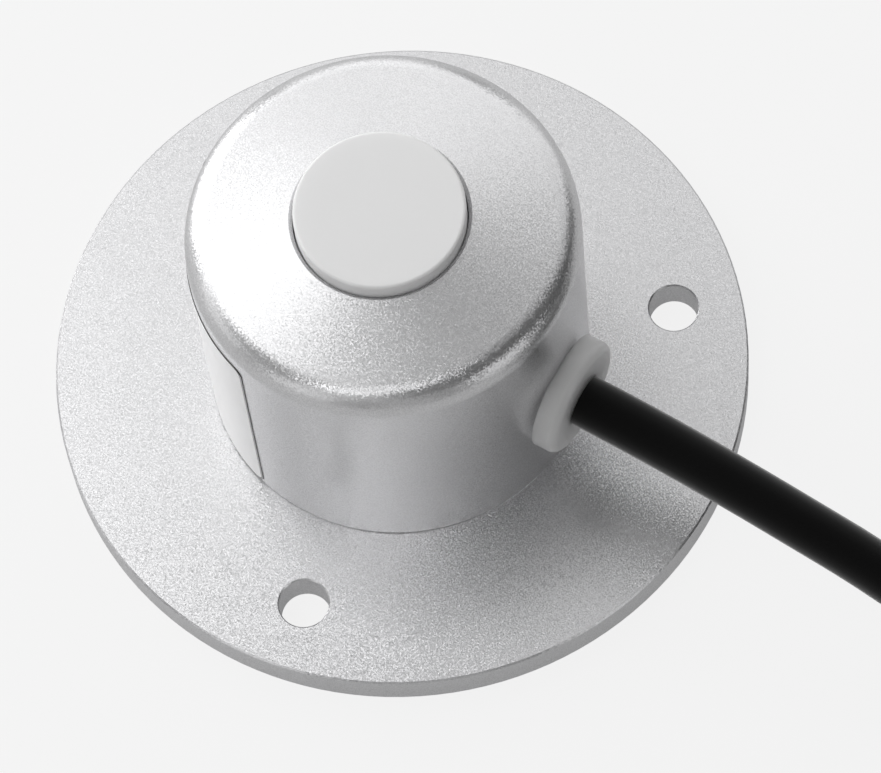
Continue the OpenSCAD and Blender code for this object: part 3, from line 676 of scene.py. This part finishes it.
# %% Aluminium
DENT = 0.17 * MM
DENT_LEAN = 0.38
DENT_CLUSTER = 4 * DENT
METAL_CLOUD = 18 * MM


def lean(finish, grain, amount):
    """A normal that leans its own way in every grain, by up to about half of amount."""
    chance = finish.noise(grain, detail=0.0, out="Color")
    centred = {0: chance, 1: (amount,) * 3, 2: (-amount / 2,) * 3}
    shift = finish.node("ShaderNodeVectorMath", {"operation": "MULTIPLY_ADD"}, centred)
    even = finish.node("ShaderNodeNewGeometry", out="Normal")
    leaning = finish.node("ShaderNodeVectorMath", {"operation": "ADD"}, {0: even, 1: shift})
    return finish.node("ShaderNodeVectorMath", {"operation": "NORMALIZE"}, {0: leaning})


def blasted(slot, roughness):
    """Blasted and anodised metal."""
    finish = Finish(slot, {"Metallic": 1.0})
    clusters = finish.noise(DENT_CLUSTER)
    cloud = finish.noise(METAL_CLOUD)
    glint = finish.ramp(finish.noise(DENT, detail=1.0), 0.35, 0.65)
    tone = 0.75 * glint + 0.1 * clusters + 0.15 * cloud
    return finish.surface(
        finish.shades(tone, record_colours[slot], 0.88, 1.12),
        roughness + 0.05 * (clusters - 0.5) + 0.04 * (cloud - 0.5),
        lean(finish, DENT, DENT_LEAN),
    )


print(f"blasted grain: {DENT / MM:.2f} mm")

# %% [markdown]
# ## Plastic and rubber
# Moulded plastic is never quite even: a faint orange-peel relief breaks up its reflections. Milky
# nylon and the white diffuser also let light in a little way and back out. A paler colour would
# lose their shadows, so subsurface scattering does it, which softens their edges as well.

# %% Plastic and rubber
CLOUD_GRAINS = 30


def moulded(
    slot, roughness, colour=None, grain=0.5 * MM, relief=0.004 * MM, drift=0.05, even=None
):
    """An even material with a fine relief and a slight drift in tone."""
    finish = Finish(slot, even)
    fine = finish.noise(grain, detail=3.0)
    cloud = finish.noise(CLOUD_GRAINS * grain)
    tone = 0.4 * fine + 0.6 * cloud
    return finish.surface(
        finish.shades(tone, colour or record_colours[slot], 1 - drift, 1 + drift),
        roughness + 0.08 * (fine - 0.5),
        finish.bump(fine, relief),
    )


def milky(weight, depth):
    """Settings for light that goes in a little way and comes back out."""
    return {
        "Subsurface Weight": weight,
        "Subsurface Radius": (1, 1, 1),
        "Subsurface Scale": depth,
        "Specular IOR Level": 0.4,
    }


# %% [markdown]
# ## The blank label
# The label is a white sticker round the side of the housing away from the cable, with a thin
# near-black line along its edge. The line could be a mesh of its own, but a mark in the colour
# has no thickness. It is drawn as a distance instead: how far a point lies inside a rounded
# rectangle. Along the wall that distance is an arc, the angle round the axis times the wall's
# radius, and upwards it is height.

# %% Label
LABEL_CORNER = 1.5 * MM
LINE_WIDTH = 0.28 * MM
LINE_SOFTNESS = 0.03 * MM
LABEL_FIBRE = 0.3 * MM
LABEL_CLOUD = 12 * MM
housing_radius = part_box("housing")[1].y
label_low, label_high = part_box("rating_label")
label_half_arc = math.acos(-label_high.x / housing_radius) * housing_radius
label_middle = (label_low.z + label_high.z) / 2
label_half_height = (label_high.z - label_low.z) / 2


def inside_label(finish):
    """How far a point lies inside the label's edge, in metres."""
    x = finish.node("ShaderNodeSeparateXYZ", None, {0: finish.place})
    along = x.beside("Y").math("ARCTAN2", -1 * x) * housing_radius
    past_side = abs(along) - (label_half_arc - LABEL_CORNER)
    past_top = abs(x.beside("Z") - label_middle) - (label_half_height - LABEL_CORNER)
    round_part = (past_side.math("MAXIMUM", 0) ** 2 + past_top.math("MAXIMUM", 0) ** 2) ** 0.5
    flat_part = past_side.math("MAXIMUM", past_top).math("MINIMUM", 0)
    return LABEL_CORNER - round_part - flat_part


def label_stock(slot):
    """White sticker stock with a near-black line along its edge and a thin clear coat."""
    finish = Finish(slot, {"Coat Weight": 0.6, "Coat Roughness": 0.2})
    inside = inside_label(finish)
    line = 1 - finish.ramp(inside, LINE_WIDTH - LINE_SOFTNESS, LINE_WIDTH + LINE_SOFTNESS)
    fibre = finish.noise(LABEL_FIBRE, detail=3.0)
    cloud = finish.noise(LABEL_CLOUD)
    white = finish.mix(0.3 * fibre + 0.7 * cloud, grey(0.92), grey(0.96))
    return finish.surface(
        finish.mix(line, white, grey(0.015)),
        0.35 + 0.1 * (fibre - 0.5),
        finish.bump(fibre + 4 * cloud, 0.003 * MM),
    )


print(f"label: {2 * label_half_arc / MM:.1f} mm by {2 * label_half_height / MM:.1f} mm")

# %% [markdown]
# ## Metal inside the housing
# The sealed housing hides screws, seals, two circuit boards and the photodiode under its filter.
# They show only when the part is taken apart, yet each still gets a finish of its own kind. Turned
# metal has fine lines round its axis. Noise that is stretched flat gives them, with no texture to
# wrap round each screw.

# %% Turned and drawn metal
TURNING_LINE = 0.06 * MM
TURNING_DEPTH = 0.002 * MM
TURNING_CLOUD = 3 * MM
TURNING_STRETCH = (0.05, 0.05, 1)


def turned_metal(slot, roughness):
    """Metal with fine lines round an upright axis."""
    finish = Finish(slot, {"Metallic": 1.0})
    lines = finish.noise(TURNING_LINE, stretch=TURNING_STRETCH)
    cloud = finish.noise(TURNING_CLOUD)
    return finish.surface(
        finish.shades(0.6 * lines + 0.4 * cloud, record_colours[slot], 0.88, 1.1),
        roughness + 0.1 * (lines - 0.5),
        finish.bump(lines, TURNING_DEPTH),
    )


# %% [markdown]
# ## Glass, silicon, boards and chips
# The filter is tinted glass, and the chip under it is polished silicon with a faint grid. A board
# has a green mask over lighter copper, and chips are moulded in speckled black resin. Grid, copper
# and specks are all cells, so scattered points at three sizes draw them, with no picture needed.

# %% Glass
GLASS_CLOUD = 4 * MM


def clear_glass(slot, coat):
    """Glass with a faint coating drift over its tint."""
    finish = Finish(slot, {"IOR": 1.5, "Transmission Weight": 0.92, "Coat Weight": coat})
    drift = finish.noise(GLASS_CLOUD)
    colour = finish.shades(drift, record_colours[slot], 0.95, 1.1)
    return finish.surface(colour, 0.02 + 0.03 * drift)


# %% Silicon, circuit board and resin
CHIP_GRID = 0.7 * MM
COPPER_AREA = 2.2 * MM
BOARD_WEAVE = 0.4 * MM
SPECK = 0.12 * MM
RESIN_CLOUD = 1.5 * MM


def cells(finish, grain, feature="F1"):
    """Distance to the nearest of many scattered points, in shares of grain."""
    sockets = {"Vector": finish.place, "Scale": 1 / grain}
    return finish.node("ShaderNodeTexVoronoi", {"feature": feature}, sockets, "Distance")


def polished_silicon(slot):
    finish = Finish(slot, {"Metallic": 0.8})
    grid = cells(finish, CHIP_GRID)
    colour = finish.shades(finish.ramp(grid, 0.2, 0.5), record_colours[slot], 1, 1.8)
    return finish.surface(colour, 0.08 + 0.1 * grid)


def solder_mask(slot):
    """Green lacquer, lighter where copper lies under it."""
    finish = Finish(slot, {"Coat Weight": 0.4})
    copper = finish.ramp(cells(finish, COPPER_AREA, "DISTANCE_TO_EDGE"), 0.10, 0.13)
    weave = finish.noise(BOARD_WEAVE)
    return finish.surface(
        finish.shades(copper, record_colours[slot], 0.7, 1.5),
        0.32 + 0.1 * weave,
        finish.bump(copper + 0.2 * weave, 0.03 * MM),
    )


def speckled(slot, roughness):
    """Filled resin or ceramic with small light specks."""
    finish = Finish(slot)
    specks = 1 - finish.ramp(cells(finish, SPECK), 0.1, 0.35)
    cloud = finish.noise(RESIN_CLOUD)
    return finish.surface(
        finish.shades(0.4 * specks + 0.3 * cloud, record_colours[slot], 0.9, 2.0),
        roughness + 0.1 * (cloud - 0.5),
        finish.bump(specks, 0.004 * MM),
    )


# %% [markdown]
# ## Giving out the finishes
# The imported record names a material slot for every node. One table turns each slot into its
# finish, and a loop hands them out, to the nodes that came with the frame and to the pieces made
# above. Diffuser, bush, cable and label take their colour here, as the picture shows it, and the
# rest take it from the record.

# %% Finishes that show
JACKET = {"Specular IOR Level": 0.03, "Sheen Weight": 1.0, "Sheen Roughness": 0.41}
finishes = {
    "anodised_aluminium": blasted("anodised_aluminium", 0.34),
    "label_white": label_stock("label_white"),
    "diffuser_white": moulded(
        "diffuser_white", 0.62, grey(0.98), grain=0.35 * MM, relief=0.002 * MM, drift=0.012,
        even=milky(0.4, 1.0 * MM),
    ),
    "bush_nylon": moulded(
        "bush_nylon", 0.36, grey(0.78), grain=0.8 * MM, relief=0.003 * MM, drift=0.03,
        even=milky(1.0, 9.0 * MM),
    ),
    "cable_black": moulded(
        "cable_black", 0.5, grey(0.002), grain=0.35 * MM, drift=0.2, even=JACKET,
    ),
    "tie_nylon": moulded("tie_nylon", 0.38, even=milky(0.4, 0.8 * MM)),
}
for colour in CORE_COLOURS:
    wire = f"wire_{colour}"
    finishes[wire] = moulded(wire, 0.35, grain=0.3 * MM, relief=0.002 * MM, drift=0.1)
print(f"finishes that show: {len(finishes)}")

# %% The other finishes
roughness_by_kind = [
    (blasted, {"ring_black": 0.5}),
    (turned_metal, {"steel": 0.28, "brass": 0.3, "gold_plate": 0.2, "can_metal": 0.24}),
    (speckled, {"chip_black": 0.55, "component_body": 0.5}),
    (moulded, {"trimmer_blue": 0.35, "connector_ivory": 0.4}),
]
for make, slots in roughness_by_kind:
    for slot, roughness in slots.items():
        finishes[slot] = make(slot, roughness)
finishes["rubber_grey"] = moulded("rubber_grey", 0.75, drift=0.15)
finishes["filter_glass"] = clear_glass("filter_glass", coat=0.5)
finishes["window_glass"] = clear_glass("window_glass", coat=0.0)
finishes["silicon"] = polished_silicon("silicon")
finishes["circuit_board"] = solder_mask("circuit_board")
print(f"all finishes: {len(finishes)}")

# %% Hand them out
own_pieces = [cable, *cord_pieces]
for subpart in frame["record"]["subparts"]:
    data = nodes[subpart["node"]].data
    data.materials.clear()
    data.materials.append(finishes[subpart["material_slot"]])
for piece in own_pieces:
    piece.data.materials.append(finishes[piece["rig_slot"]])
print(f"dressed: {len(nodes)} nodes and {len(own_pieces)} own pieces")

# %% [markdown]
# ## The floor
# The sensor stands on a pale sheet. A lit sheet would need so much light that the aluminium burns
# out, so the sheet adds a glow, which the camera and clear glass see almost in full, and gloss by a
# quarter. The rest of the sheet is plain and lit, so it still carries the sensor's shadow.

# %% Floor
FLOOR_HALF = 3.0
FLOOR_TONE = 0.5
FLOOR_ROUGHNESS = 0.9
FLOOR_GRAIN = 1.5 * MM
GLOW_SEEN = 0.85
GLOW_IN_GLOSS = 0.25

floor_mesh = bpy.data.meshes.new("floor")
floor_mesh.from_pydata(
    [(side_a * FLOOR_HALF, side_b * FLOOR_HALF, 0) for side_a, side_b in CORNER_SIDES],
    [],
    [(0, 1, 2, 3)],
)
floor = bpy.data.objects.new("floor", floor_mesh)
bpy.context.scene.collection.objects.link(floor)


def seen_share(graph, seen, in_gloss):
    """The share of a glow that a ray sees: one for the camera and glass, another for gloss."""
    camera_ray = graph.node("ShaderNodeLightPath", out="Is Camera Ray")
    direct = camera_ray.math("MAXIMUM", camera_ray.beside("Is Transmission Ray"))
    return seen * direct + in_gloss * camera_ray.beside("Is Glossy Ray")


sheet = Finish("floor_sheet")
fibres = sheet.noise(FLOOR_GRAIN, detail=3.0)
sheet.surface(sheet.shades(fibres, grey(FLOOR_TONE), 0.98, 1.02), FLOOR_ROUGHNESS)
glowing = sheet.node("ShaderNodeMixShader", None, {
    0: seen_share(sheet, GLOW_SEEN, GLOW_IN_GLOSS),
    1: Value(sheet, sheet.shader.outputs[0]),
    2: sheet.node("ShaderNodeEmission", None, {"Color": grey(1)}),
})
sheet.put(sheet.tree.nodes["Material Output"].inputs["Surface"], glowing)
floor_mesh.materials.append(sheet.material)
print(f"floor: {2 * FLOOR_HALF:.0f} m wide, tone {FLOOR_TONE}")

# %% [markdown]
# ## The background
# Past the sheet there is only the world. It is pale for the camera, so that every view has the
# same quiet background, and nearly dark for all else, so that the lamps alone shape the metal.

# %% World
WORLD_SEEN = 0.92
WORLD_IN_GLOSS = 0.02

world = bpy.data.worlds.new("studio")
world.use_nodes = True
bpy.context.scene.world = world
sky = Graph(world.node_tree)
background = sky.tree.nodes["Background"].inputs
sky.put(background["Color"], grey(1))
sky.put(background["Strength"], seen_share(sky, WORLD_SEEN, WORLD_IN_GLOSS))
print(f"world: {WORLD_SEEN} for the camera, {WORLD_IN_GLOSS} in gloss")

# %% [markdown]
# ## Studio lamps
# Blasted metal shows its lamps as wide soft patches, and each face mirrors another part of the
# room. So the light is a ring of softboxes rather than one: strong on the left and behind, where
# the flange and the cone look for it, and weak in front and on the right. Two small lamps in front
# draw the thin bright line along the shoulder and fill the band below it. All stand at one
# distance. Each has its direction as the camera sees it, its height angle, its power and its width.

# %% Lamps
LAMP_DISTANCE = 0.55
WIDE = 0.3
SMALL = 0.15
softboxes = {
    "softbox_back_low": (0, 18, 0.33, WIDE),
    "softbox_right_back_low": (45, 18, 0.26, WIDE),
    "softbox_right_front_low": (135, 18, 0.24, WIDE),
    "softbox_front_low": (180, 18, 0.11, WIDE),
    "softbox_left_front_low": (-135, 18, 0.25, WIDE),
    "softbox_left_low": (-90, 18, 0.25, WIDE),
    "softbox_left_back_low": (-45, 18, 1.16, WIDE),
    "softbox_right_back": (22, 42, 0.27, WIDE),
    "softbox_right": (67, 42, 0.16, WIDE),
    "softbox_left_front": (-158, 42, 0.08, WIDE),
    "softbox_left": (-68, 42, 0.25, WIDE),
    "softbox_left_back": (-23, 42, 0.26, WIDE),
    "softbox_back_high": (0, 65, 0.10, WIDE),
    "softbox_right_high": (60, 65, 0.10, WIDE),
    "softbox_left_high": (-60, 65, 0.43, WIDE),
    "softbox_shoulder_line": (180, 72, 0.17, SMALL),
    "softbox_shoulder_fill": (-145, 54, 0.19, SMALL),
}
for name, (turn, height, watts, side) in softboxes.items():
    data = bpy.data.lights.new(name, "AREA")
    data.size = side
    data.energy = watts
    lamp = bpy.data.objects.new(name, data)
    flat = math.cos(math.radians(height))
    way = from_view(
        flat * math.sin(math.radians(turn)),
        flat * math.cos(math.radians(turn)),
        math.sin(math.radians(height)),
    )
    lamp.matrix_world = Matrix.LocRotScale(way * LAMP_DISTANCE, way.to_track_quat("Z", "Y"), None)
    bpy.context.scene.collection.objects.link(lamp)
print(f"lamps: {len(softboxes)}, {sum(row[2] for row in softboxes.values()):.1f} W in all")

bpy.context.scene.view_settings.view_transform = "Standard"
